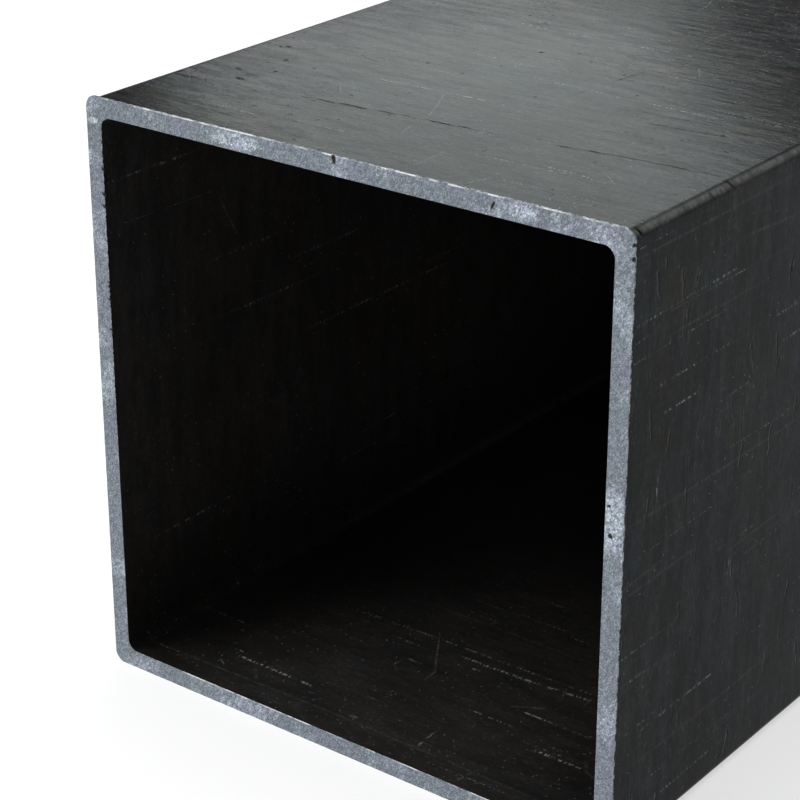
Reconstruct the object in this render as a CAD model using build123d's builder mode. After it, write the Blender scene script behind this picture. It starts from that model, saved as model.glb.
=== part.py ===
from build123d import *
import os

# A length of square steel tube with tight corners and square-sawn open ends.
# Lengths are in millimetres. +Z is up and +Y runs along the tube. The origin is
# on the plane that the tube lies on, under the middle of its length and width.

# Driving dimensions
side = 101.6                  # outside, flat to flat, 4 in both ways
wall = 3.175                  # 1/8 in on all four sides
tube_length = 914.4           # 3 ft, one sawn end to the other
outside_corner_radius = 2.0
inside_corner_radius = 1.9

# Worked out from them
bore = side - 2 * wall        # inside, flat to flat
axis_height = side / 2        # the tube's centre line above the plane it lies on

# The section stands on the sawn end that faces +Y, centred on the centre line.
back_end = Plane(origin=(0, tube_length / 2, axis_height), x_dir=(1, 0, 0), z_dir=(0, -1, 0))

# The rolled tube: one closed square ring of even wall, the same all the way along.
with BuildPart() as square_tube:
    with BuildSketch(back_end) as section:
        RectangleRounded(side, side, outside_corner_radius)
        RectangleRounded(bore, bore, inside_corner_radius, mode=Mode.SUBTRACT)
    extrude(amount=tube_length)

square_tube.part.label = "square_tube"

os.makedirs("parts", exist_ok=True)
export_step(square_tube.part, "parts/square_tube.step")
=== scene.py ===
# A length of square steel tube with dark mill scale and bright sawn ends, on a pale studio floor.
# Sizes are in millimetres and become metres where a mesh, a lamp or the camera is made. +Z is up,
# +Y runs along the tube, and "front" is the sawn end that faces -Y, where the camera stands.

import math
from collections import namedtuple

import bpy
import numpy as np
from mathutils import Matrix, Vector, noise


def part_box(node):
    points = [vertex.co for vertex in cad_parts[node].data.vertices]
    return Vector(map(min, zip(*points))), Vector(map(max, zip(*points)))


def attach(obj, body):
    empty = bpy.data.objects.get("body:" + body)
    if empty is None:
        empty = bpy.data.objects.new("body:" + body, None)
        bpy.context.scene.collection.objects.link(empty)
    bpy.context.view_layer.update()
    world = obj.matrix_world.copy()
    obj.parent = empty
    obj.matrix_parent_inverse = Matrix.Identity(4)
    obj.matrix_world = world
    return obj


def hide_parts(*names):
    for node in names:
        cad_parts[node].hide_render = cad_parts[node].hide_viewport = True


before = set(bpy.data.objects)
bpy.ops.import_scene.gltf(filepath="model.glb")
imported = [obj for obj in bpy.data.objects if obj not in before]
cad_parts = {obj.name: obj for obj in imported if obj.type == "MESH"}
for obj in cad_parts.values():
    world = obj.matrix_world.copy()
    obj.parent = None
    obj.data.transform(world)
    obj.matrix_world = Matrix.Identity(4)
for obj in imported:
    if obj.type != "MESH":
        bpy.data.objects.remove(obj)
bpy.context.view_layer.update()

# ---------------------------------------------------------------- sizes

MM = 0.001
tube_low, tube_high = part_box("square_tube")
SIDE = (tube_high.x - tube_low.x) / MM
LENGTH = (tube_high.y - tube_low.y) / MM
HALF = SIDE / 2
FRONT = tube_low.y / MM
AXIS_Z = tube_low.z / MM + HALF
WALL = 3.175
OUTER_RADIUS = 2.0
INNER_RADIUS = 1.9

LIP_DEPTH = 0.30        # how far the saw's burr reaches along the tube
LIP_FOOT = 0.42         # where its slope meets the rolled skin
LIP_HEIGHT = 0.45       # how far it stands out from the skin
RIM_DEPTH = 1.0         # how far along the tube its sawn rims are uneven
JAG_REACH = 0.2         # and how far across the end
JAG = 0.018             # how uneven they are
JAG_BUMPS = ((1.3, 0.3), (0.6, 1.0))    # the sizes of the bumps, with their weights
TEAR = 14.3             # how much more so the bore's left edge is
TEAR_HEIGHTS = (15.0, 80.0)     # from none of it to all of it
BEVEL = 0.07            # the broken arris along the outer rims
BEVEL_REACH = 0.12      # how far across the end it goes
BEVEL_SIZE = 1.7        # how long its deeper stretches are

# ---------------------------------------------------------------- marks on the skin

# Width is half a groove's width, burr the share of the depth that stands up beside it, wander how
# far it strays from straight, and the last three how bright, dotted or dirty it is.
Style = namedtuple("Style", "width depth burr wander bare dotted grime", defaults=(0.0,) * 6)
GOUGE = Style(0.25, 0.07, 0.05, 0.35, grime=1.0)
CREASE = Style(0.15, 0.05, 0.30, 0.35, grime=0.8)
# Painted highlights on the lit flanks of creases, gouges and pits.
CREST_HIGHLIGHT = Style(0.16, wander=0.35, bare=0.22)
BRINK_HIGHLIGHT = Style(0.16, wander=0.35, bare=0.28)
SCORE = Style(0.16, 0.045, 0.30, 0.35, grime=0.8)
DENT = Style(0.50, 0.13, 0.35, 0.35, grime=0.4)
PIT = Style(0.31, 0.09, 0.05, 0.35, grime=1.6)
FLECK = Style(0.20, bare=0.40)
SCRATCH = Style(0.10, 0.010, bare=0.30)
LINE = Style(0.18, bare=0.11)
RUB = Style(0.13, bare=0.24)
DOTS = Style(0.13, dotted=1.0)
BRIGHT_DOTS = Style(0.20, dotted=2.2)
NICK = Style(0.27, 0.30, wander=0.1, grime=3.0)
NOTCH = Style(0.24, 0.10, 0.4, 0.2, grime=2.2)
BAR = Style(0.22, wander=0.2, bare=0.40)
# A painted highlight along the bore's rounded lower left corner.
CORNER_HIGHLIGHT = Style(0.80, bare=0.06)

Mark = namedtuple("Mark", "style line")
SKIN = HALF - LIP_HEIGHT
BORE = HALF - WALL
LINE_RISE = 0.25        # how far above the bore's floor the line in its corner stands


def at_end(mark):
    """Whether a mark is on the front end and not on a wall."""
    return (mark.line[:, 1] == FRONT).all()


# Where a mark's points lie: x is from the tube's left edge, y from its front end, z from the floor.


def on_top(x, y):
    return x - HALF, FRONT + y, AXIS_Z + SKIN


def on_right(y, z):
    return SKIN, FRONT + y, z


def on_corner(y, share):
    """The share runs round the upper right corner, from 0 on top to 1 on the side."""
    middle, radius = HALF - OUTER_RADIUS, OUTER_RADIUS - LIP_HEIGHT
    angle = share * math.pi / 2
    x, z = middle + radius * math.sin(angle), middle + radius * math.cos(angle)
    return x, FRONT + y, AXIS_Z + z


def on_end(x, z):
    return x - HALF, FRONT, z


def on_bore_floor(x, y):
    return x - HALF, FRONT + y, AXIS_Z - BORE


def on_bore_left(y, z):
    return -BORE, FRONT + y, z


def in_bore_corner(x, y):
    """Low in the bore's left corner, with x from its left wall."""
    return x - BORE, FRONT + y, AXIS_Z - BORE + LINE_RISE


TOP_MARKS = {
    CREASE: (
        ((26.6, 20.6), (45.0, 22.3), (62.6, 23.6)), ((68.3, 24.0), (85.0, 26.2), (99.0, 27.1)),
        ((1.0, 17.8), (6.7, 18.0)), ((19.0, 45.1), (21.3, 43.6), (24.8, 42.8)),
    ),
    SCORE: (
        ((69.5, 80.0), (66.2, 72.5), (63.7, 69.5)), ((62.4, 66.5), (60.8, 55.6)),
        ((60.4, 51.5), (60.2, 46.3)), ((77.5, 41.8), (89.3, 43.2)),
    ),
    DENT: (
        ((63.5, 13.7), (64.3, 13.9)), ((75.9, 44.0), (76.3, 43.6)), ((80.6, 15.5), (81.0, 15.3)),
        ((98.4, 8.2), (98.9, 8.0)), ((12.2, 24.6), (12.9, 24.8)),
    ),
    PIT: (
        ((11.4, 34.6), (12.0, 34.4)), ((14.6, 28.5), (15.0, 28.2)), ((31.1, 47.4), (31.4, 47.2)),
        ((5.6, 40.4), (5.9, 40.3)), ((42.2, 63.9), (42.4, 63.7)), ((89.2, 43.5), (89.7, 43.1)),
        ((12.2, 22.0), (13.0, 21.8)), ((8.2, 26.2), (9.1, 26.0)), ((6.6, 41.4), (7.4, 41.1)),
    ),
    SCRATCH: (
        ((7.7, 68.4), (7.5, 61.4)), ((60.8, 12.6), (60.9, 4.4)), ((60.6, 93.6), (60.9, 83.1)),
        ((43.4, 35.8), (46.5, 29.5), (49.2, 23.0)), ((67.8, 71.9), (70.7, 67.2)),
        ((85.2, 17.8), (88.7, 14.9)), ((73.0, 6.7), (71.8, 3.4), (72.0, 1.5)),
        ((74.2, 89.3), (72.6, 86.0), (71.9, 82.3)), ((46.9, 111.4), (48.6, 107.0), (49.2, 102.1)),
        ((49.3, 19.8), (50.4, 15.4)), ((27.0, 30.0), (30.4, 25.8)), ((2.5, 21.4), (7.6, 16.0)),
    ),
    RUB: (
        ((28.8, 35.4), (44.0, 36.1)), ((62.0, 50.7), (83.5, 50.1)),
    ),
    DOTS: (
        ((19.5, 77.1), (42.0, 76.6), (65.0, 77.1)), ((20.1, 91.0), (30.0, 91.0)),
        ((33.5, 56.7), (44.0, 56.4)), ((9.7, 52.7), (13.1, 52.6)), ((49.0, 51.0), (83.5, 50.1)),
        ((28.8, 35.4), (50.0, 36.3), (59.1, 35.8)), ((75.3, 15.6), (85.8, 15.2)),
        ((17.2, 9.2), (31.2, 9.0)), ((31.0, 75.8), (36.0, 76.2)), ((86.0, 52.4), (96.0, 52.3)),
    ),
}

RIGHT_MARKS = {
    GOUGE: (
        ((18.4, 91.2), (16.4, 87.5), (15.4, 84.0), (14.7, 80.4)), ((14.7, 86.0), (14.5, 81.6)),
        ((24.2, 85.3), (23.5, 80.8), (22.2, 75.7)), ((27.2, 84.9), (27.0, 82.0)),
        ((27.6, 92.0), (27.5, 90.1)), ((13.3, 77.1), (13.1, 75.3)), ((5.6, 80.5), (5.4, 78.0)),
        ((5.1, 70.9), (5.7, 67.9)), ((43.1, 100.2), (43.6, 96.8)), ((17.5, 62.6), (17.4, 59.1)),
        ((32.8, 64.3), (32.8, 58.2)), ((49.9, 60.4), (49.8, 57.3)), ((50.4, 45.9), (50.4, 41.8)),
        ((18.9, 19.2), (18.6, 15.6), (18.8, 12.7)), ((43.6, 21.0), (44.0, 16.1)), ((5.6, 13.5), (6.0, 7.4)),
        ((36.2, 27.6), (36.5, 25.4)), ((38.4, 37.6), (38.5, 32.9)),
        ((23.4, 58.2), (24.6, 54.6), (25.8, 57.2)), ((21.2, 58.6), (20.9, 52.6)),
    ),
    SCORE: (
        ((33.4, 74.6), (33.0, 70.6), (35.4, 67.6), (38.7, 65.0)), ((38.3, 89.9), (38.8, 85.6)),
        ((50.5, 43.0), (53.6, 40.9)), ((21.9, 47.4), (20.6, 41.0)), ((30.4, 39.2), (31.6, 36.2)),
    ),
    PIT: (
        ((43.7, 68.7), (42.8, 67.4), (42.3, 66.1)), ((45.4, 83.9), (45.3, 82.2), (45.0, 80.8)),
        ((46.8, 71.1), (46.5, 69.7)), ((46.8, 74.2), (46.6, 73.0)), ((39.0, 93.4), (39.3, 92.4)),
        ((20.9, 30.6), (21.2, 29.5)),
    ),
    LINE: (
        ((0.6, 97.0), (24.0, 97.1), (46.0, 97.5)), ((30.4, 91.8), (47.2, 90.6)),
        ((11.0, 82.9), (37.5, 82.9)), ((0.6, 56.4), (27.0, 55.8), (52.5, 55.6)),
        ((0.6, 46.6), (12.0, 47.3)), ((0.6, 45.0), (21.8, 45.3)), ((4.0, 14.9), (28.0, 14.8), (51.0, 15.4)),
        ((31.2, 40.6), (48.0, 40.9)),
    ),
    DOTS: (
        ((0.6, 86.9), (14.0, 87.2), (29.4, 87.4)), ((0.8, 84.3), (6.4, 84.8)), ((7.5, 75.9), (28.0, 76.0)),
        ((41.0, 75.9), (50.0, 76.1)), ((9.6, 71.2), (20.1, 71.2)), ((44.0, 71.0), (50.4, 71.2)),
        ((25.2, 67.2), (35.0, 67.7)), ((0.6, 35.0), (15.8, 35.0)), ((0.6, 30.2), (8.8, 30.2)),
        ((7.0, 20.1), (30.6, 20.3)), ((39.8, 22.4), (44.0, 22.2)), ((8.8, 5.7), (35.0, 6.1)),
        ((0.8, 21.4), (11.0, 21.5)), ((9.2, 61.3), (9.3, 55.4)), ((31.9, 40.6), (31.2, 34.4)),
    ),
}

# Bars across the rounded corner: dark where it is knocked in and light where it is rubbed.
CORNER_MARKS = {
    NOTCH: (
        ((25.6, 0.0), (25.9, 0.35), (26.2, 0.7), (26.6, 1.0)), ((20.6, 0.3), (20.9, 0.9)),
        ((1.9, 0.1), (2.2, 0.8)),
    ),
    BAR: (
        ((7.4, 0.1), (7.6, 0.9)), ((9.0, 0.2), (9.1, 0.8)), ((23.4, 0.2), (24.0, 0.8)),
    ),
}

END_MARKS = {
    NICK: (
        ((49.8, 101.6), (49.9, 100.7)), ((78.1, 100.6), (78.3, 100.0)), ((101.3, 99.5), (101.4, 99.1)),
        ((101.4, 97.7), (101.5, 97.0)), ((99.2, 55.5), (99.4, 55.0)), ((98.9, 60.0), (99.1, 59.8)),
        ((3.2, 94.3), (3.1, 94.1)), ((3.2, 91.9), (3.0, 91.9)), ((3.2, 89.8), (2.9, 89.7)),
        ((3.2, 85.6), (2.9, 85.3)), ((3.2, 83.6), (2.9, 83.4)), ((3.2, 70.7), (3.1, 70.5)),
        ((3.2, 69.9), (3.0, 69.8)), ((3.2, 68.9), (3.1, 68.8)), ((3.2, 67.6), (3.0, 67.5)),
        ((3.2, 66.4), (3.1, 66.3)), ((3.2, 62.5), (3.0, 62.3)),
    ),
}

BORE_FLOOR_MARKS = {
    BRIGHT_DOTS: (
        ((50.1, 32.7), (61.9, 32.9), (76.2, 34.0)), ((76.6, 15.9), (85.9, 16.0)),
        ((20.0, 9.7), (36.0, 9.6)),
    ),
    DOTS: (
        ((26.3, 34.4), (36.0, 35.1), (75.7, 35.8)), ((38.3, 31.2), (42.9, 31.2)),
        ((34.2, 29.3), (41.0, 29.4)), ((50.8, 30.0), (55.4, 30.8)), ((18.0, 11.2), (22.2, 11.2)),
        ((77.0, 17.1), (83.0, 17.1)), ((61.9, 19.6), (70.2, 19.6)), ((66.9, 24.4), (82.2, 24.4)),
        ((55.3, 50.8), (62.0, 50.8)), ((58.6, 49.5), (66.5, 49.5)), ((43.4, 50.4), (48.0, 50.4)),
        ((44.8, 46.3), (46.6, 46.3)), ((47.8, 17.5), (47.8, 15.0)), ((60.9, 11.9), (61.4, 4.1)),
        ((74.3, 8.1), (72.7, 4.8), (72.3, 1.4)),
    ),
    LINE: (
        ((5.5, 4.4), (45.0, 5.1), (85.9, 4.6)), ((36.9, 44.3), (70.2, 44.3)),
        ((85.0, 18.5), (86.8, 15.9), (89.6, 14.5)),
    ),
    SCRATCH: (
        ((42.3, 37.1), (48.0, 28.2), (49.6, 25.9), (49.8, 22.6)),
        ((42.7, 25.8), (42.6, 23.5), (44.3, 22.1)), ((70.2, 35.1), (71.6, 31.4)),
        ((75.4, 34.6), (75.7, 32.1)), ((26.1, 7.1), (27.2, 5.3)), ((17.1, 7.6), (19.9, 5.8)),
        ((76.0, 3.7), (74.8, 2.1)), ((66.0, 24.5), (71.0, 27.4)),
    ),
    FLECK: (
        ((24.7, 2.4), (25.0, 2.1)), ((84.3, 6.1), (84.8, 6.1)), ((65.0, 28.6), (65.2, 28.4)),
        ((63.7, 10.9), (64.2, 10.9)), ((46.2, 12.7), (46.6, 12.7)), ((47.1, 6.0), (48.4, 6.5)),
        ((43.4, 26.6), (45.5, 26.6)),
    ),
}

BORE_LEFT_MARKS = {
    DOTS: (
        ((0.5, 87.4), (24.0, 87.3)), ((24.7, 67.2), (39.2, 67.0)), ((46.4, 61.4), (61.7, 61.3)),
        ((29.0, 56.3), (49.3, 56.2)), ((49.3, 46.7), (92.9, 46.6)), ((7.3, 21.6), (27.6, 21.7)),
    ),
    SCRATCH: (((26.8, 77.7), (31.2, 69.7)),),
}

# A painted highlight: a soft line along the bore's lower left corner, a little lighter than the rest, where
# its rounded corner catches the light.
BORE_CORNER_HIGHLIGHT = {CORNER_HIGHLIGHT: (((0.9, 50.0), (0.9, 330.0)),)}

LIT_EDGES = {CREASE: CREST_HIGHLIGHT, GOUGE: BRINK_HIGHLIGHT, PIT: BRINK_HIGHLIGHT}
LIT_SHIFT = (0.0, 0.36, 0.0)        # the painted highlight on the lit flank of a crease, gouge or pit stands behind it


def placed_marks():
    """The marks that stand at known places near the front end."""
    sides = (
        (on_top, TOP_MARKS),
        (on_right, RIGHT_MARKS),
        (on_corner, CORNER_MARKS),
        (on_end, END_MARKS),
        (on_bore_floor, BORE_FLOOR_MARKS),
        (on_bore_left, BORE_LEFT_MARKS),
        (in_bore_corner, BORE_CORNER_HIGHLIGHT),
    )
    marks = [
        Mark(style, np.array([place(*point) for point in line]))
        for place, styles in sides
        for style, lines in styles.items()
        for line in lines
    ]
    lit = [
        Mark(LIT_EDGES[mark.style], mark.line + LIT_SHIFT)
        for mark in marks
        if mark.style in LIT_EDGES and not at_end(mark)
    ]
    return marks + lit


STREWN_ON_SIDE = 16
STREWN_STYLES = ((GOUGE, 7.0), (DENT, 1.0), (GOUGE, 4.0), (PIT, 0.6))     # with their usual lengths
WIDENING, DEEPENING = 1.8, 1.3      # they are seen from further off, so they are coarser
STREWN_FROM = (10.0, 62.0, 125.0, 10.0)     # where they start on the bottom, right, top and left
EDGE_MARGIN, BACK_MARGIN = 4.0, 15.0        # how far they keep from the corners and the back end
LEAN_SPREAD = 0.2


def strewn_marks():
    """Gouges, dents and pits at random over the sides, past the stretches with placed ones."""
    draw = np.random.default_rng(7)
    marks = []
    for quarters, first in enumerate(STREWN_FROM):
        for number in range(STREWN_ON_SIDE):
            style, length = STREWN_STYLES[number % len(STREWN_STYLES)]
            style = style._replace(width=style.width * WIDENING, depth=style.depth * DEEPENING)
            middle = np.array([
                draw.uniform(-1, 1) * (HALF - EDGE_MARGIN - length / 2),
                draw.uniform(first, LENGTH - BACK_MARGIN),
            ])
            lean = draw.normal(0, LEAN_SPREAD) + (math.pi / 2 if quarters % 2 == 0 else 0)
            half_run = np.array([math.cos(lean), math.sin(lean)]) * length * draw.uniform(0.3, 0.8)
            across, along = np.stack([middle - half_run, middle + half_run]).T
            x, z = turned(across, np.full(2, -SKIN), quarters)
            marks.append(Mark(style, np.stack([x, FRONT + along, AXIS_Z + z], 1)))
    return marks


def turned(x, z, quarters):
    """Points of the section turned about the centre line by that many quarter turns."""
    angle = quarters * math.pi / 2
    c, s = np.round(np.cos(angle)), np.round(np.sin(angle))
    return x * c - z * s, x * s + z * c


# ---------------------------------------------------------------- the tube's surface

# The whole surface is one closed sheet. Its lattice runs round the section in columns and along
# the profile in rows: out along the skin, over the back end, back through the bore, over the front.
GRID = 128              # lattice steps in one base column or row
FLAT_COLUMNS = 8
ARC_COLUMNS = 8
SIDE_COLUMNS = FLAT_COLUMNS + ARC_COLUMNS
AROUND = 4 * SIDE_COLUMNS * GRID
ARC_WIDTH = math.pi / 2 * OUTER_RADIUS / ARC_COLUMNS
FLAT_WIDTH = (SIDE - 2 * OUTER_RADIUS) / FLAT_COLUMNS

SKIN_ROWS = (0, 0.1, 0.2, LIP_DEPTH, 0.36, LIP_FOOT, 0.7, 1.4, 3.0, 6.6)
BORE_ROWS = (0, 0.2, 0.6, 1.4, 3.0, 6.6)
END_ROWS = (0, 0.025, 0.06, 0.2, 0.5, 0.8, 0.94, 1)
WIDEST_ROW = 12.0


def rows_along(rows):
    """Distances from the front end, close together beside both ends."""
    middle = LENGTH - 2 * rows[-1]
    count = math.ceil(middle / WIDEST_ROW)
    steps = [rows[-1] + middle * i / count for i in range(1, count)]
    return [*rows, *steps, *(LENGTH - d for d in reversed(rows))]


def profile():
    """The base rows' edges: the share from skin to bore, and the distance from the front."""
    skin = [(0.0, d) for d in rows_along(SKIN_ROWS)[:-1]]
    back = [(w, LENGTH) for w in END_ROWS[:-1]]
    bore = [(1.0, d) for d in reversed(rows_along(BORE_ROWS)[1:])]
    front = [(w, 0.0) for w in reversed(END_ROWS[1:])]
    return np.array(skin + back + bore + front + [(0.0, 0.0)])


PROFILE = profile()
ROUND = (len(PROFILE) - 1) * GRID


def section(u, half, radius):
    """Points of a rounded square at lattice columns u, and the directions straight out from it."""
    column = u / GRID
    side = np.floor(column / SIDE_COLUMNS)
    along = column - side * SIDE_COLUMNS
    flat = np.clip(along / FLAT_COLUMNS, 0, 1)
    angle = np.clip((along - FLAT_COLUMNS) / ARC_COLUMNS, 0, 1) * math.pi / 2 - math.pi / 2
    reach = half - radius
    out = (np.cos(angle), np.sin(angle))
    point = (reach * (2 * flat - 1) + radius * out[0], radius * out[1] - reach)
    return np.stack(turned(*point, side)), np.stack(turned(*out, side))


def smooth(start, end, value):
    """0 before start, 1 after end, and a smooth rise between them."""
    t = np.clip((value - start) / (end - start), 0, 1)
    return t * t * (3 - 2 * t)


def plain_surface(u, v):
    """Places and outward directions before wear, and each point's share and distance."""
    row = np.minimum(v // GRID, len(PROFILE) - 2).astype(int)
    t = (v / GRID - row)[:, None]
    share, distance = (PROFILE[row] * (1 - t) + PROFILE[row + 1] * t).T
    outer, out = section(u, HALF, OUTER_RADIUS)
    inner, _ = section(u, BORE, INNER_RADIUS)
    from_end = np.minimum(distance, LENGTH - distance)
    skin_depth = LIP_HEIGHT * smooth(LIP_DEPTH, LIP_FOOT, from_end)
    x, z = outer * (1 - share) + inner * share - out * skin_depth * (share == 0)
    place = np.stack([x, FRONT + distance, AXIS_Z + z], 1)
    flat = np.zeros(len(place))
    return place, np.stack([out[0], flat, out[1]], 1), share, distance


def unevenness(places, size):
    """Noise from about -1 to 1 at each place, with bumps of that size."""
    return np.array([noise.noise(Vector(p) / size) for p in places])


def from_line(places, line):
    """Each place's distance from a line of straight runs, and its share of the way along it."""
    best = np.full(len(places), np.inf)
    share = np.zeros(len(places))
    runs = np.linalg.norm(np.diff(line, axis=0), axis=1)
    done = 0.0
    for start, end, run in zip(line[:-1], line[1:], runs):
        t = np.clip((places - start) @ (end - start) / run**2, 0, 1)
        gap = np.linalg.norm(places - start - t[:, None] * (end - start), axis=1)
        nearer = gap < best
        best[nearer] = gap[nearer]
        share[nearer] = (done + t[nearer] * run) / runs.sum()
        done += run
    return best, share


class Places:
    """Places sorted along the tube, so that the ones near a mark are found quickly."""

    def __init__(self, places, share, distance):
        self.places = places
        self.order = np.argsort(places[:, 1])
        self.along = places[self.order, 1]
        self.on_front = distance == 0
        self.on_wall = np.isin(share, (0, 1)) & ~self.on_front

    def near(self, mark, reach):
        """The numbers of the places about within reach of a mark, on the front or on the walls."""
        low, high = mark.line.min(0) - reach, mark.line.max(0) + reach
        first, last = np.searchsorted(self.along, (low[1], high[1]))
        some = self.order[first:last]
        some = some[((self.places[some] > low) & (self.places[some] < high)).all(1)]
        return some[(self.on_front if at_end(mark) else self.on_wall)[some]]


WANDER_SEED = 1         # without one, noise_vector draws its own from the clock on every run
WANDER_SIZE = 2.2       # how long the wanders of a mark are
BREAK_SIZE = 3.0        # how far apart its deeper stretches are
WEAKEST, STRONGEST = 0.5, 1.1           # how much of its depth it has between them and in them
BANK_PLACE, BANK_WIDTH = 1.9, 0.7       # the burr beside a groove, in the mark's widths
MARK_REACH = 4.0        # how many widths from its line a mark is felt
FADE = 1 / 6            # the share of its length over which a mark fades at each end


def wander(places):
    """A shift this way and that for each place, so that lines drawn on them come out wavy."""
    return np.array([noise.noise_vector(Vector(p) / WANDER_SIZE) for p in places]).reshape(-1, 3)


def wear(places, share, distance, marks):
    """How deep each place is cut by the marks, and how bare, dotted and dirty they leave it."""
    noise.seed_set(WANDER_SEED)
    cut, bare, dotted, grime = np.zeros((4, len(places)))
    sorted_places = Places(places, share, distance)
    for mark in marks:
        style = mark.style
        near = sorted_places.near(mark, style.width * MARK_REACH + style.wander)
        moved = places[near] + style.wander * (wander(places[near]) if style.wander else 0)
        gap, along = from_line(moved, mark.line)
        strength = np.clip(np.minimum(along, 1 - along) / FADE, 0, 1) ** 0.5
        if style.wander and not at_end(mark):
            uneven = smooth(-0.25, 0.35, unevenness(places[near], BREAK_SIZE))
            strength *= WEAKEST + (STRONGEST - WEAKEST) * uneven
        off = gap / style.width
        groove = np.exp(-(off**2)) * strength
        bank = np.exp(-(((off - BANK_PLACE) / BANK_WIDTH) ** 2)) * strength
        cut[near] += style.depth * (groove - style.burr * bank)
        bare[near] = np.maximum(bare[near], style.bare * groove)
        dotted[near] = np.maximum(dotted[near], style.dotted * groove)
        grime[near] = np.maximum(grime[near], style.grime * groove)
    return cut, bare, dotted, grime


def worn_surface(u, v, marks):
    """Places of the finished surface at the lattice points, and the marks' three masks."""
    place, out, share, distance = plain_surface(u, v)
    cut, bare, dotted, grime = wear(place, share, distance, marks)
    from_end = np.minimum(distance, LENGTH - distance)
    at_rim = from_end < RIM_DEPTH
    jag = np.zeros(len(place))
    for size, weight in JAG_BUMPS:
        jag[at_rim] += weight * unevenness(place[at_rim], size)
    jag = np.abs(jag)
    on_left_bore = (share > 0.5) & (place[:, 0] < 0.5 - BORE)
    torn = 1 + np.where(on_left_bore, TEAR * smooth(*TEAR_HEIGHTS, place[:, 2]), 0)
    rim_share = np.clip(1 - np.minimum(share, 1 - share) * WALL / (JAG_REACH * torn), 0, 1)
    jag *= JAG * torn * rim_share * (1 - smooth(0.25, RIM_DEPTH, from_end))
    toward_wall = np.where(share < 0.5, -1.0, 1.0)
    sideways = (jag + np.where(distance > 0, cut, 0)) * toward_wall
    place = place + out * sideways[:, None]
    bevel = BEVEL * np.clip(1 - share * WALL / BEVEL_REACH, 0, 1) * (from_end == 0)
    bevel[at_rim] *= 0.5 + 0.5 * unevenness(place[at_rim], BEVEL_SIZE)
    place[:, 1] += np.where(distance < LENGTH / 2, 1, -1) * bevel + np.where(distance > 0, 0, cut)
    return place, bare, dotted, grime


# ---------------------------------------------------------------- splitting the lattice into cells

FRONT_RIM_CELL = 0.34
BACK_RIM_CELL = 1.0
GRADING = 1.1           # how fast cells may grow with distance from fine detail
WAVY_CELL = (1.2, 7.0)          # a cell's width and length beside a wandering mark, in mark widths
STRAIGHT_CELL = (1.7, 60.0)     # and beside a straight one
GROOVE_REACH = 1.5              # how many mark widths from its line cells stay as small
RIM_REACH = 0.7                 # and how far from a sawn rim
LONGEST_CELL = 1.2 * WIDEST_ROW


def cell_sizes(cells):
    """How wide each cell is round the section and how long along the profile."""
    u, v, du, dv = cells
    column_width = np.where(u // GRID % SIDE_COLUMNS < FLAT_COLUMNS, FLAT_WIDTH, ARC_WIDTH)
    row = v // GRID
    step = PROFILE[row + 1] - PROFILE[row]
    row_length = np.abs(step[:, 0]) * WALL + np.abs(step[:, 1])
    return column_width * du / GRID, row_length * dv / GRID


def wanted_sizes(cells, marks):
    """The widest and the longest that each cell may be."""
    u, v, du, dv = cells
    centre, out, share, distance = plain_surface(u + du / 2, v + dv / 2)
    wide, long = cell_sizes(cells)
    from_rim = np.minimum(distance, LENGTH - distance) + np.minimum(share, 1 - share) * WALL
    rim_cell = np.where(distance < LENGTH / 2, FRONT_RIM_CELL, BACK_RIM_CELL)
    want_wide = rim_cell + GRADING * np.maximum(from_rim - RIM_REACH, 0)
    want_long = np.full(len(u), LONGEST_CELL)
    sideways = np.stack([-out[:, 2], out[:, 1], out[:, 0]], 1)
    sorted_centres = Places(centre, share, distance)
    for mark in marks:
        style = mark.style
        near = sorted_centres.near(mark, WIDEST_ROW / GRADING)
        gap, _ = from_line(centre[near], mark.line)
        run = mark.line[-1] - mark.line[0]
        run = run / np.linalg.norm(run)
        crosswise = np.abs(sideways[near] @ run)
        lengthwise = np.abs(out[near] @ run) + abs(run[1])
        reach = (wide[near] * lengthwise + long[near] * crosswise) / 2
        spare = gap - reach - GROOVE_REACH * style.width - style.wander
        spare = GRADING * np.maximum(spare, 0)
        fine, limit = np.array(WAVY_CELL if style.wander else STRAIGHT_CELL) * style.width
        for wanted, slope in ((want_long, crosswise), (want_wide, lengthwise)):
            size = np.minimum(fine / np.maximum(slope, 1e-6), limit)
            wanted[near] = np.minimum(wanted[near], size + spare)
    return want_wide, want_long


def split_cells(marks):
    """The lattice's cells, fine beside rims and marks: column, row, and how many of each."""
    u, v = np.meshgrid(np.arange(0, AROUND, GRID), np.arange(0, ROUND, GRID))
    fresh = np.stack([u.ravel(), v.ravel(), np.full(u.size, GRID), np.full(u.size, GRID)])
    done = []
    while fresh.size:
        wide, long = cell_sizes(fresh)
        want_wide, want_long = wanted_sizes(fresh, marks)
        over_wide = np.where(fresh[2] > 1, wide / want_wide, 0)
        over_long = np.where(fresh[3] > 1, long / want_long, 0)
        halve = np.maximum(over_wide, over_long) > 1
        done.append(fresh[:, ~halve])
        across = (over_wide >= over_long)[halve]
        u, v, du, dv = fresh[:, halve]
        du, dv = np.where(across, du // 2, du), np.where(across, dv, dv // 2)
        second = np.stack([u + du * across, v + dv * ~across, du, dv])
        fresh = np.concatenate([np.stack([u, v, du, dv]), second], 1)
    return np.concatenate(done, 1)


def between(keys, start, steps):
    """Where the sorted keys begin and end that lie strictly within so many steps of start."""
    return np.searchsorted(keys, start, "right"), np.searchsorted(keys, start + steps, "left")


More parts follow.
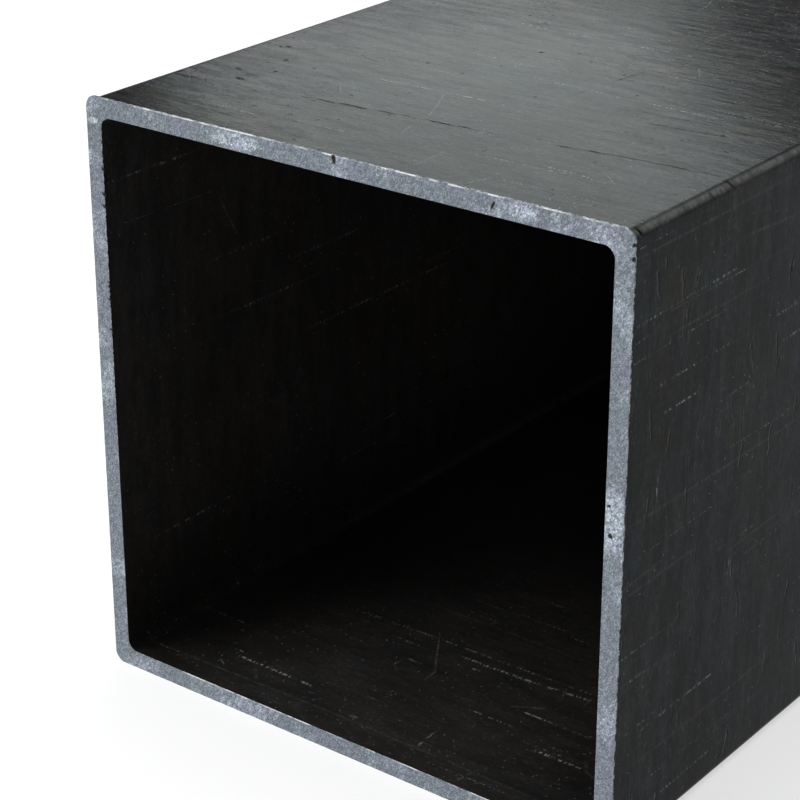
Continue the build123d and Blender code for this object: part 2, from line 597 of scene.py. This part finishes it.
def cell_faces(cells):
    """Lattice points and faces. A face takes in every point on its border, so nothing gapes."""
    u, v, du, dv = cells
    far_u, far_v = (u + du) % AROUND, (v + dv) % ROUND
    by_row = np.unique(np.concatenate([b * AROUND + a for a in (u, far_u) for b in (v, far_v)]))
    point_v, point_u = np.divmod(by_row, AROUND)
    order = np.lexsort((point_v, point_u))
    by_column = (point_u * ROUND + point_v)[order]
    around = ((u, v), (u, far_v), (far_u, far_v), (far_u, v))
    corners = [np.searchsorted(by_row, b * AROUND + a) for a, b in around]
    borders = [
        between(by_column, u * ROUND + v, dv),
        between(by_row, far_v * AROUND + u, du),
        between(by_column, far_u * ROUND + v, dv),
        between(by_row, v * AROUND + u, du),
    ]
    columns = np.stack([*corners, *(edge for border in borders for edge in border)], 1).tolist()
    order = order.tolist()
    faces = [
        [a, *order[l0:l1], b, *range(t0, t1), c, *order[r0:r1][::-1], d, *range(b0, b1)[::-1]]
        for a, b, c, d, l0, l1, t0, t1, r0, r1, b0, b1 in columns
    ]
    return point_u, point_v, faces


def link(name, data):
    """A new object in the scene, with nothing set yet."""
    made = bpy.data.objects.new(name, data)
    bpy.context.scene.collection.objects.link(made)
    return made


SKIN_SLOT, END_SLOT, BORE_SLOT = range(3)
SHARP_ANGLE = math.radians(50)


def make_tube(materials):
    """The tube's surface as one closed mesh."""
    marks = placed_marks() + strewn_marks()
    cells = split_cells(marks)
    u, v, faces = cell_faces(cells)
    place, bare, dotted, grime = worn_surface(u, v, marks)
    mesh = bpy.data.meshes.new("Square_tube")
    mesh.from_pydata((place * MM).tolist(), [], faces)
    row = cells[1] // GRID
    start, end = PROFILE[row, 0], PROFILE[row + 1, 0]
    slots = np.where(start == 0, SKIN_SLOT, BORE_SLOT)
    slots[start != end] = END_SLOT
    mesh.polygons.foreach_set("material_index", slots.astype(np.int32))
    mesh.polygons.foreach_set("use_smooth", np.ones(len(slots), bool))
    for name, values in (("bare", bare), ("dotted", dotted), ("grime", grime)):
        mask = mesh.attributes.new(name, "FLOAT", "POINT")
        mask.data.foreach_set("value", values.astype(np.float32))
    for material in materials:
        mesh.materials.append(material)
    mesh.update()
    mesh.set_sharp_from_angle(angle=SHARP_ANGLE)
    tube = link("Square_tube", mesh)
    even = tube.modifiers.new("Even_normals", "WEIGHTED_NORMAL")
    even.mode = "FACE_AREA"
    even.keep_sharp = True
    return tube


# ---------------------------------------------------------------- materials


class Value:
    """A node's output, which sums and products can be made of. Each makes one more node."""

    def __init__(self, shader, socket):
        self.shader = shader
        self.socket = socket

    def combined(self, operation, *values):
        """A math node's output, or a vector math node's for places and colours."""
        kind = "Math" if self.socket.type == "VALUE" else "VectorMath"
        return self.shader.get(0, kind, dict(enumerate(values)), operation=operation)

    def __add__(self, other):
        return self.combined("ADD", self, other)

    def __sub__(self, other):
        return self.combined("SUBTRACT", self, other)

    def __rsub__(self, other):
        return self.combined("SUBTRACT", other, self)

    def __mul__(self, other):
        return self.combined("MULTIPLY", self, other)

    def __truediv__(self, other):
        return self.combined("DIVIDE", self, other)

    def __abs__(self):
        return self.combined("ABSOLUTE", self)


# A pattern of straight strokes, one in a share of its cells. Cell is their size along and across,
# half_length the most that a stroke has, and turn the furthest that one leans, in radians.
Strokes = namedtuple("Strokes", "cell half_length half_width turn share seed")
LONG_LINES = Strokes((44.0, 7.0), 15.0, 0.12, 0.03, 0.45, 3.1)
HAIRLINES = Strokes((17.0, 14.0), 4.2, 0.07, 1.5, 0.5, 7.7)
FLECKS = Strokes((2.6, 2.2), 0.14, 0.13, 1.5, 0.3, 1.9)
DASHES = Strokes((4.2, 1.7), 1.3, 0.16, 0.12, 0.5, 6.1)
KNOCKS = Strokes((10.0, 7.0), 2.4, 0.38, 0.3, 0.25, 5.3)
PITS = Strokes((7.0, 7.0), 0.25, 0.25, 1.5, 0.3, 9.1)
SCUFFS = Strokes((6.0, 2.2), 2.4, 0.32, 0.14, 0.55, 2.7)
SMUDGES = Strokes((52.0, 11.0), 17.0, 0.9, 0.03, 0.55, 4.3)
BORE_FLECKS = Strokes((2.1, 1.7), 0.22, 0.12, 1.5, 0.32, 8.3)


class Shader:
    """The node tree of one material, with short calls that add a node and give back its output."""

    def __init__(self, name):
        self.material = bpy.data.materials.new(name)
        self.material.use_nodes = True
        self.nodes = self.material.node_tree.nodes
        self.surface = self.nodes["Principled BSDF"]

    def feed(self, socket, value):
        """Sets the socket to a plain value, or links it to another node's output."""
        if isinstance(value, Value):
            self.material.node_tree.links.new(value.socket, socket)
        else:
            socket.default_value = value

    def node(self, kind, inputs, **settings):
        """A new node with its settings and inputs."""
        made = self.nodes.new("ShaderNode" + kind)
        for name, value in settings.items():
            setattr(made, name, value)
        for key, value in inputs.items():
            self.feed(made.inputs[key], value)
        return made

    def get(self, output, kind, inputs, **settings):
        """One output of a new node."""
        return Value(self, self.node(kind, inputs, **settings).outputs[output])

    def attribute(self, name):
        """One of the marks' masks."""
        return self.get("Fac", "Attribute", {}, attribute_name=name)

    def math(self, operation, *values):
        return self.get(0, "Math", dict(enumerate(values)), operation=operation)

    def most(self, first, second, *others):
        """The greatest of some numbers."""
        greater = self.math("MAXIMUM", first, second)
        return self.most(greater, *others) if others else greater

    def least(self, first, second):
        return self.math("MINIMUM", first, second)

    def length(self, vector):
        return self.get("Value", "VectorMath", {0: vector}, operation="LENGTH")

    def parts(self, vector):
        """The three parts of a place or a colour."""
        return [Value(self, part) for part in self.node("SeparateXYZ", {0: vector}).outputs]

    def join(self, x, y, z):
        return self.get(0, "CombineXYZ", {0: x, 1: y, 2: z})

    def rotate(self, place, angle, axis):
        """A place turned about one axis through the origin."""
        return self.get(0, "VectorRotate", {"Vector": place, "Angle": angle}, rotation_type=axis)

    def noise(self, place, size, detail=3.0, roughness=0.55, output="Fac"):
        """Smooth noise whose bumps have that size, a number or one for each direction."""
        sizes = size if isinstance(size, tuple) else (size,) * 3
        inputs = {"Vector": place / sizes, "Scale": 1.0, "Detail": detail, "Roughness": roughness}
        return self.get(output, "TexNoise", inputs)

    def rise(self, value, start, end, low=0.0, high=1.0):
        """low up to start, high from end, and a smooth change between them."""
        inputs = {"Value": value, "From Min": start, "From Max": end, "To Min": low, "To Max": high}
        return self.get(0, "MapRange", inputs, interpolation_type="SMOOTHSTEP")

    def pick(self, share, first, second):
        """One number turned into another by the share."""
        return self.get(0, "Mix", {0: share, 2: first, 3: second})

    def tint(self, share, first, second):
        """One colour turned into another by the share."""
        return self.get(2, "Mix", {0: share, 6: first, 7: second}, data_type="RGBA")

    def bump(self, height):
        """The normal for a height in millimetres."""
        return self.get("Normal", "Bump", {"Height": height, "Distance": MM})

    def strokes(self, place, pattern, plenty=1.0):
        """A mask of the pattern's strokes, which lie along the places' first direction."""
        cell, half_length, half_width, turn, share, seed = pattern
        scaled = place / (*cell, 1) + (seed, seed * 0.37, 0)
        inputs = {"Vector": scaled, "Scale": 1.0, "Randomness": 0.9}
        cells = self.node("TexVoronoi", inputs, voronoi_dimensions="2D").outputs
        lean, long, chance = self.parts(Value(self, cells["Color"]))
        local = (scaled - Value(self, cells["Position"])) * (*cell, 0)
        along, across, _ = self.parts(self.rotate(local, lean * (2 * turn) - turn, "Z_AXIS"))
        run = long * (0.7 * half_length) + 0.3 * half_length
        gap = self.length(self.join(self.most(abs(along) - run, 0.0), across, 0.0))
        return self.rise(gap, half_width, 0.0) * self.math("LESS_THAN", chance, share * plenty)

    def finish(self, **inputs):
        """Sets the surface's own sockets by name, with _ for a space."""
        for name, value in inputs.items():
            self.feed(self.surface.inputs[name.replace("_", " ")], value)
        return self.material


def grey(level, red=1.0, green=1.0, blue=1.0):
    """An opaque colour of that brightness, tinted by the three shares."""
    return (level * red, level * green, level * blue, 1)


Where = namedtuple("Where", "place grain round upright corner")
SIDE_SHIFT = 371.0      # how far apart the patterns of two sides lie


def tube_coordinates(s):
    """Places in millimetres laid out in three ways, and how far the surface turns round a corner.

    Grain is along and across the long lines of the rolled skin, which run across the tube on its
    top and bottom and along it on the other two sides. Round is round the section and along the
    tube. Upright is 1 on the two upright sides, and corner is most in the middle of a corner.
    """
    coordinates = s.node("TexCoord", {}).outputs
    place = Value(s, coordinates["Object"]) * ((1 / MM,) * 3)
    x, y, z = s.parts(place)
    facing_x, _, facing_z = s.parts(abs(Value(s, coordinates["Normal"])))
    upright = s.math("GREATER_THAN", facing_x, facing_z)
    side = s.pick(upright, s.math("SIGN", z - AXIS_Z), s.math("SIGN", x) * 3.0)
    shift = side * SIDE_SHIFT
    grain = s.join(shift + s.pick(upright, x, y), s.pick(upright, y, z), side)
    round_section = s.join(shift + s.pick(upright, x, z), y, side)
    return Where(place, grain, round_section, upright, s.least(facing_x, facing_z))


# Colours are grey() of a level with three tints. The scale has a main hue, a cool and a warm one.
SKIN_SCALE = (
    grey(0.0175, 0.79, 1.01, 1.05),
    grey(0.0175, 0.78, 1.00, 1.18),
    grey(0.0175, 0.98, 1.00, 0.86),
)
BORE_SCALE = (
    grey(0.0165, 1.10, 1.00, 0.93),
    grey(0.0165, 1.04, 1.00, 0.97),
    grey(0.0165, 1.15, 1.00, 0.88),
)
LEVEL_TINT = grey(1.0, 1.22, 0.99, 0.93)    # the skin is browner on its top and bottom
GRIME = grey(0.008, 1.1, 1.0, 0.9)
PALE_MARK = grey(0.34, 0.98, 1.0, 0.98)
# Worn steel on the rounded corners, lightened further as a painted highlight.
WORN_CORNER_AND_SHEEN = grey(0.165, 0.98, 1.0, 0.96)
SMUDGE_LEVEL = 0.03     # how much of the pale mark's colour the hazy lines have
DASH_LEVEL = 0.09
DOT_LEVEL = 0.75        # and the dots of a dotted line, at most, on the upright sides
LEVEL_DOTS = 1.35       # how much brighter they are on the level ones
DENT_DEPTH = 0.06       # millimetres
SCUFF_DEPTH = 0.015
DASH_DEPTH = 0.008
GRIME_DULLNESS = 0.3    # how much rougher dirt makes the scale


def scale_tone(s, at):
    """How light the scale is: clouds, streaks and mottle round the section, and pale specks."""
    clouds = s.rise(s.noise(at.place, 26.0), 0.3, 0.7, 0.82, 1.18)
    streaks = s.rise(s.noise(at.round, (13.0, 3.0, 1.0)), 0.3, 0.7, 0.68, 1.32)
    mottle = s.rise(s.noise(at.round, (2.6, 1.2, 1.0), 3.0, 0.65), 0.25, 0.75, 0.70, 1.30)
    specks = s.noise(at.round, (0.9, 0.5, 1.0), 2.0, 0.7)
    specks = s.rise(specks, 0.52, 0.74, 1.0, s.pick(at.upright, 2.8, 2.2))
    return clouds * streaks * mottle * specks


def scale_hue(s, at, hues):
    """The scale's main hue with a cooler and a warmer one in blotches, large and small."""
    main, cool, warm = hues
    large = s.noise(at.round, (34.0, 20.0, 1.0), 2.0)
    small = s.noise(at.round, (7.0, 4.0, 1.0))
    hue = large * 0.55 + small * 0.45
    colour = s.tint(s.rise(hue, 0.49, 0.58), main, cool)
    return s.tint(s.rise(hue, 0.47, 0.38), colour, warm)


def scale_relief(s, at):
    """The height of the rolled scale in millimetres: gentle waves, smears and a fine grain."""
    waves = s.noise(at.place, 14.0, 2.0)
    smears = s.noise(at.round, (6.0, 1.8, 1.0))
    grain = s.noise(at.round, (1.0, 0.6, 1.0), 3.0, 0.65)
    return waves * 0.02 + smears * 0.028 + grain * 0.007


def light_marks(s, at, plenty=1.0):
    """Thin light strokes: broken lines along the grain, hairlines, flecks, and the placed marks."""
    lines = s.strokes(at.grain, LONG_LINES, plenty) * 0.7
    dots = s.rise(s.noise(at.grain, (0.5, 1.5, 1.0), 1.0), 0.48, 0.60)
    fade = s.noise(at.grain, (5.0, 2.0, 1.0), 2.0)
    fade = s.rise(fade, 0.36, 0.64, 0.12, s.pick(at.upright, DOT_LEVEL * LEVEL_DOTS, DOT_LEVEL))
    dotted = s.most(lines, s.attribute("dotted")) * dots * fade
    bend = s.noise(at.place, 9.0, 1.0, output="Color") * (3.0, 3.0, 0.0)
    hairs = s.strokes(at.grain + bend, HAIRLINES, plenty) * 0.2
    broken = s.rise(s.noise(at.place, 0.7, 2.0, 0.7), 0.42, 0.6, 0.15, 1.0)
    crowds = s.rise(s.noise(at.place, 11.0), 0.45, 0.62, 0.08, 0.55)
    flecks = s.strokes(at.grain, FLECKS) * crowds
    return s.most(s.most(hairs, s.attribute("bare")) * broken, flecks, dotted)


def wavering(s, at):
    """Places round the section, shifted this way and that, so that straight strokes look wavy."""
    bend = s.noise(at.place, 3.0, 3.0, 0.65, output="Color")
    return at.round + bend * (2.0, 2.0, 0.0)


def dashes(s, at, wavy):
    """Short fine strokes round the section, thick in some patches, from 0 to 1."""
    patches = s.rise(s.noise(at.round, (16.0, 6.0, 1.0)), 0.42, 0.62, 0.15, 1.0)
    return s.strokes(wavy, DASHES) * patches


def scuffs(s, at, wavy):
    """Faint dense strokes round the section in patches, plainest on the upright sides."""
    patches = s.rise(s.noise(at.round, (14.0, 9.0, 1.0), 2.0), 0.46, 0.62, 0.15, 1.0)
    return s.strokes(wavy, SCUFFS) * patches * s.pick(at.upright, 0.2, 1.0)


def knocks(s, at, wavy):
    """Short gouges that lie round the section, and small pits, as depths from 0 to 1."""
    uneven = s.rise(s.noise(at.round, (1.8, 1.0, 1.0), 2.0), 0.35, 0.6, 0.25, 1.0)
    gouges = s.strokes(wavy, KNOCKS) * uneven * s.pick(at.upright, 0.25, 1.0)
    return s.most(gouges, s.strokes(at.grain, PITS)) * s.pick(at.upright, 0.6, 1.0)


def smudges(s, at):
    """Wide hazy lines along the grain, from 0 to 1."""
    haze = s.rise(s.noise(at.grain, (7.0, 1.0, 1.0), 3.0, 0.65), 0.35, 0.7)
    return s.strokes(at.grain, SMUDGES) * haze


def corner_wear_and_sheen(s, at):
    """How bare the rounded corners are, with a highlight painted along them: most along their middle, with
    uneven bars and chips.
    """
    bars = s.noise(at.place * (0.3, 1.0, 0.3), 2.2, 4.0, 0.7)
    chips = s.noise(at.place, (1.0, 0.8, 1.0), 2.0, 0.6)
    worn_and_sheen = s.rise(at.corner, 0.24, 0.68) * s.rise(bars, 0.32, 0.64, 0.5, 1.2)
    return worn_and_sheen * s.rise(chips, 0.28, 0.50, 0.72, 1.0)


def end_burr(s, at):
    """Bright broken steel where the saw's burr stands at the very ends of the skin."""
    from_end = LENGTH / 2 - abs(s.parts(at.place)[1])
    broken = s.rise(s.noise(at.place, 0.9, 3.0, 0.7), 0.44, 0.58)
    return s.rise(from_end, LIP_FOOT, LIP_DEPTH) * broken


DULL_PLACE = (-46.0, -352.0, 0.0)
DULL_SIZE = (44.0, 52.0, 1e6)       # half its width and its length, at any height
DULLNESS = 0.09


def dull_patch(s, at):
    """How much rougher the scale is in one wide patch of the top."""
    far = s.length((at.place - DULL_PLACE) / DULL_SIZE)
    return s.rise(far, 1.2, 0.6, 0.0, DULLNESS) * (1.0 - at.upright)


def scale_roughness(s, at):
    """Smears and specks that are duller than the rest, and dirt that is dullest of all."""
    smears = s.rise(s.noise(at.round, (9.0, 1.8, 1.0), 3.0, 0.6), 0.3, 0.7, 0.105, 0.19)
    specks = s.rise(s.noise(at.round, (1.0, 0.6, 1.0), 2.0, 0.7), 0.5, 0.75, 0.0, 0.09)
    return smears + dull_patch(s, at) + specks + s.attribute("grime") * GRIME_DULLNESS


def rolled_skin():
    """Dark mill scale, greenish with bluish and brownish clouds, bare steel at its corners, with a painted
    highlight along them.
    """
    s = Shader("Mill_scale_skin")
    at = tube_coordinates(s)
    wavy = wavering(s, at)
    fine_strokes = dashes(s, at, wavy)
    dents = knocks(s, at, wavy)
    dirt = s.attribute("grime")
    # the corners' bare steel together with a highlight painted along their middle
    worn_and_sheen = corner_wear_and_sheen(s, at) * (1.0 - s.least(dirt, 1.0))
    marks = s.most(light_marks(s, at), end_burr(s, at))
    bare = s.most(marks, worn_and_sheen * 0.5)

    colour = scale_hue(s, at, SKIN_SCALE) * scale_tone(s, at)
    colour = colour * s.tint(1.0 - at.upright, grey(1.0), LEVEL_TINT)
    colour = s.tint(smudges(s, at) * SMUDGE_LEVEL, colour, PALE_MARK)
    colour = s.tint(fine_strokes * DASH_LEVEL, colour, PALE_MARK)
    colour = s.tint(s.most(dirt, dents * 0.4), colour, GRIME)
    colour = s.tint(worn_and_sheen, colour, WORN_CORNER_AND_SHEEN)
    height = scale_relief(s, at) - dents * DENT_DEPTH
    height = height - scuffs(s, at, wavy) * SCUFF_DEPTH - fine_strokes * DASH_DEPTH
    return s.finish(
        Base_Color=s.tint(marks, colour, PALE_MARK),
        Metallic=bare * 0.6,
        Roughness=s.pick(bare, scale_roughness(s, at), 0.45),
        Specular_IOR_Level=0.03,
        Normal=s.bump(height),
    )


SAWN_STEEL = grey(0.242, 0.895, 1.0, 1.21)
GREENISH_STEEL = grey(0.242, 0.86, 1.0, 1.12)
# Near-white steel for the painted glints and the burr's painted highlight.
HIGHLIGHT_STEEL = grey(0.85, 0.97, 1.0, 1.04)
BURR_HIGHLIGHT_WIDTH = 0.17
SAW_LEAN = math.radians(-35)        # how far the saw's grain leans from upright
# Brighter patches on the front end: each one's middle, and half its width and height.
BRIGHT_PATCHES = (
    (48.9, 57.8, 2.2, 5.4),
    (-49.4, 97.6, 1.1, 0.6),
    (-20.0, 100.0, 5.0, 1.4),
    (32.5, 100.2, 2.6, 1.2),
)


def burr_highlight(s, at):
    """The bright line on the upper edge of each level wall: the saw's burr, painted near white as a
    highlight where it catches the light from above.
    """
    x, _, z = s.parts(at.place)
    up = z - AXIS_Z
    outer = s.rise(HALF - up, BURR_HIGHLIGHT_WIDTH * 1.5, BURR_HIGHLIGHT_WIDTH)
    inner = s.rise(abs(up + BORE), BURR_HIGHLIGHT_WIDTH * 1.5, BURR_HIGHLIGHT_WIDTH)
    inner = inner * s.math("LESS_THAN", abs(x), BORE - INNER_RADIUS)
    return s.most(outer, inner) * s.rise(s.noise(at.place, 4.5, 4.0, 0.75), 0.44, 0.60)


def bright_patches(s, at):
    """Where the saw tore the steel: the placed patches and others at random, from 0 to 1."""
    patches = s.rise(s.noise(at.place, 6.5, 2.0), 0.5, 0.66, 0.0, 0.55)
    for x, z, half_width, half_height in BRIGHT_PATCHES:
        far = s.length((at.place - (x, FRONT, z)) / (half_width, 20.0, half_height))
        patches = s.most(patches, s.rise(far, 1.25, 0.6))
    return patches


def sawn_steel():
    """Bare steel, bluish and finely gritted, with brighter and coarser patches from the saw."""
    s = Shader("Sawn_steel")
    at = tube_coordinates(s)
    along_saw = s.rotate(at.place, SAW_LEAN, "Y_AXIS")
    patches = bright_patches(s, at)
    grit = s.noise(along_saw, (0.22, 0.3, 0.34), 3.0, 0.75)
    coarse = s.noise(along_saw, (0.6, 0.7, 0.95), 3.0, 0.75)
    torn = s.rise(coarse, 0.36, 0.66, 1.02, 2.5)
    plain = s.rise(coarse, 0.3, 0.72, 0.72, 1.30)
    level = s.rise(grit, 0.28, 0.72, 0.55, 1.45) * s.pick(patches, plain, torn)
    glints = s.rise(s.noise(along_saw, (0.32, 0.32, 0.4), 1.0), 0.60, 0.70)
    glints = glints * s.pick(patches, 0.25, 1.0)
    hue = s.rise(s.noise(at.place, 5.0, 2.0), 0.35, 0.65)
    colour = s.tint(hue, GREENISH_STEEL, SAWN_STEEL) * level
    # painted glints, and a painted highlight along the upper edges
    colour = s.tint(s.most(glints, burr_highlight(s, at)), colour, HIGHLIGHT_STEEL)
    dirt = s.attribute("grime")
    return s.finish(
        Base_Color=s.tint(dirt, colour, GRIME),
        Metallic=s.pick(dirt, 0.7, 0.0),
        Roughness=s.rise(grit, 0.3, 0.7, 0.62, 0.42),
        Specular_IOR_Level=0.3,
        Normal=s.bump(grit * 0.02),
    )


CORNER_SHADE = 0.5       # the share of its colour that the painted shade leaves the bore right in its lower corners
SHADE_START, SHADE_END = 5.0, 34.0


def corner_shade(s, at):
    """The share of its colour that the painted shade leaves, least in the bore's two lower corners."""
    x, _, z = s.parts(at.place)
    from_corner = (BORE - abs(x)) + (z - (AXIS_Z - BORE))
    uneven = s.noise(at.place, 9.0) * 8.0
    return s.rise(from_corner + uneven, SHADE_START, SHADE_END, CORNER_SHADE, 1.0)


def bore_skin():
    """The browner scale inside, with shade painted darker into its two lower corners."""
    s = Shader("Mill_scale_bore")
    at = tube_coordinates(s)
    # painted shade darkens the bore towards its two lower corners
    tone = s.pick(0.6, 1.0, scale_tone(s, at)) * corner_shade(s, at)
    crowds = s.rise(s.noise(at.place, 8.0), 0.42, 0.60, 0.05, s.pick(at.upright, 0.4, 0.1))
    marks = s.most(light_marks(s, at, 0.4), s.strokes(at.grain, BORE_FLECKS) * crowds)
    return s.finish(
        Base_Color=s.tint(marks, scale_hue(s, at, BORE_SCALE) * tone, PALE_MARK),
        Metallic=marks * 0.5,
        Roughness=s.pick(marks, 0.35, 0.45),
        Specular_IOR_Level=0.12,
        Normal=s.bump(scale_relief(s, at)),
    )


# ---------------------------------------------------------------- studio

FLOOR_REACH = 12.0      # metres
FLOOR_ALBEDO = 0.50
FLOOR_GLOW = 0.56       # lifts the floor to white where it is seen, but lights nothing


def make_floor():
    """A wide pale floor that keeps the tube's soft shadow."""
    mesh = bpy.data.meshes.new("Studio_floor")
    r = FLOOR_REACH
    mesh.from_pydata([(-r, -r, 0), (r, -r, 0), (r, r, 0), (-r, r, 0)], [], [(0, 1, 2, 3)])
    s = Shader("Pale_floor")
    path = s.node("LightPath", {}).outputs
    kinds = ("Is Camera Ray", "Is Glossy Ray", "Is Transmission Ray")
    seen = s.most(*(Value(s, path[kind]) for kind in kinds))
    pale = s.finish(
        Base_Color=grey(FLOOR_ALBEDO),
        Roughness=1.0,
        Specular_IOR_Level=0.0,
        Emission_Color=grey(1.0),
        Emission_Strength=seen * FLOOR_GLOW,
    )
    mesh.materials.append(pale)
    floor = link("Studio_floor", mesh)


WALL_TOP = (0.112, 0.15)        # the walls fade out between these sines of the angle upward
WALL_LIGHT, ROOM_LIGHT = 1.0, 0.06


def make_sky():
    """The studio round the tube: pale walls low down, and a dim room above them."""
    world = bpy.data.worlds.new("Studio")
    world.use_nodes = True
    bpy.context.scene.world = world
    nodes, links = world.node_tree.nodes, world.node_tree.links
    place = nodes.new("ShaderNodeTexCoord")
    parts = nodes.new("ShaderNodeSeparateXYZ")
    level = nodes.new("ShaderNodeMapRange")
    level.interpolation_type = "SMOOTHSTEP"
    links.new(place.outputs["Generated"], parts.inputs[0])
    links.new(parts.outputs["Z"], level.inputs["Value"])
    limits = ("From Min", "From Max", "To Min", "To Max")
    for name, value in zip(limits, (*WALL_TOP, WALL_LIGHT, ROOM_LIGHT)):
        level.inputs[name].default_value = value
    links.new(level.outputs["Result"], nodes["Background"].inputs["Strength"])
    nodes["Background"].inputs["Color"].default_value = grey(1.0)


# Very wide far softboxes: how strong each is, how many degrees it spans and which way it lies.
SOFTBOXES = {
    "Overhead_soft": (1.6, 60, (0.0, 0.0, 1.0)),
    "Front_left_soft": (1.75, 40, (-0.8, -0.8, 1.0)),
    "Front_fill": (0.5, 30, (0.5, -0.85, 0.3)),
}


def make_softboxes():
    """The light that comes from all over the front and from above."""
    for name, (strength, span, direction) in SOFTBOXES.items():
        lamp = bpy.data.lights.new(name, "SUN")
        lamp.energy = strength
        lamp.angle = math.radians(span)
        made = link(name, lamp)
        made.rotation_euler = Vector(direction).to_track_quat("Z", "Y").to_euler()


PANEL_DISTANCE = 1500.0
PANEL_YAW = math.radians(36)
PANEL_LEAN = math.radians(34.5)
PANEL_SIZE = (365.0, 1500.0)
PANEL_CENTRE = (336.0, 1043.0)      # sideways and up, in the panel's own upright plane
PANEL_RADIANCE = 2.65
PANEL_COLOUR = (0.92, 1.0, 0.99)


def make_panel():
    """The tall leaning softbox behind the tube that the top skin mirrors."""
    away = Vector((-math.sin(PANEL_YAW), math.cos(PANEL_YAW), 0))
    right = Vector((math.cos(PANEL_YAW), math.sin(PANEL_YAW), 0))
    up = right * math.sin(PANEL_LEAN) + Vector((0, 0, math.cos(PANEL_LEAN)))
    lamp = bpy.data.lights.new("Back_panel", "AREA")
    lamp.shape = "RECTANGLE"
    lamp.size, lamp.size_y = (size * MM for size in PANEL_SIZE)
    lamp.energy = PANEL_RADIANCE * math.pi * lamp.size * lamp.size_y
    lamp.color = PANEL_COLOUR
    made = link("Back_panel", lamp)
    place = Vector((0, FRONT, 0)) + away * PANEL_DISTANCE + right * PANEL_CENTRE[0]
    place.z = PANEL_CENTRE[1]
    turn = Matrix((up.cross(away), up, away)).transposed().to_4x4()
    made.matrix_world = Matrix.Translation(place * MM) @ turn
    made.visible_camera = False


CAMERA_PLACE = (208.27, FRONT - 255.95, 210.79)
CAMERA_DOWN = 24.126
CAMERA_YAW = 37.590
CAMERA_LENS = 107.79
CAMERA_RANGE = (0.01, 60)       # metres


def make_camera():
    """The photo's own camera, above and to the right of the front end."""
    data = bpy.data.cameras.new("Camera")
    data.lens = CAMERA_LENS
    data.sensor_width = 36
    data.clip_start, data.clip_end = CAMERA_RANGE
    camera = link("Camera", data)
    camera.location = Vector(CAMERA_PLACE) * MM
    camera.rotation_euler = (math.radians(90 - CAMERA_DOWN), 0, math.radians(CAMERA_YAW))
    bpy.context.scene.camera = camera


# ---------------------------------------------------------------- scene

tube = make_tube([rolled_skin(), sawn_steel(), bore_skin()])
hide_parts("square_tube")
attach(tube, "root")

make_floor()
make_sky()
make_softboxes()
make_panel()
make_camera()
bpy.context.scene.view_settings.view_transform = "Standard"
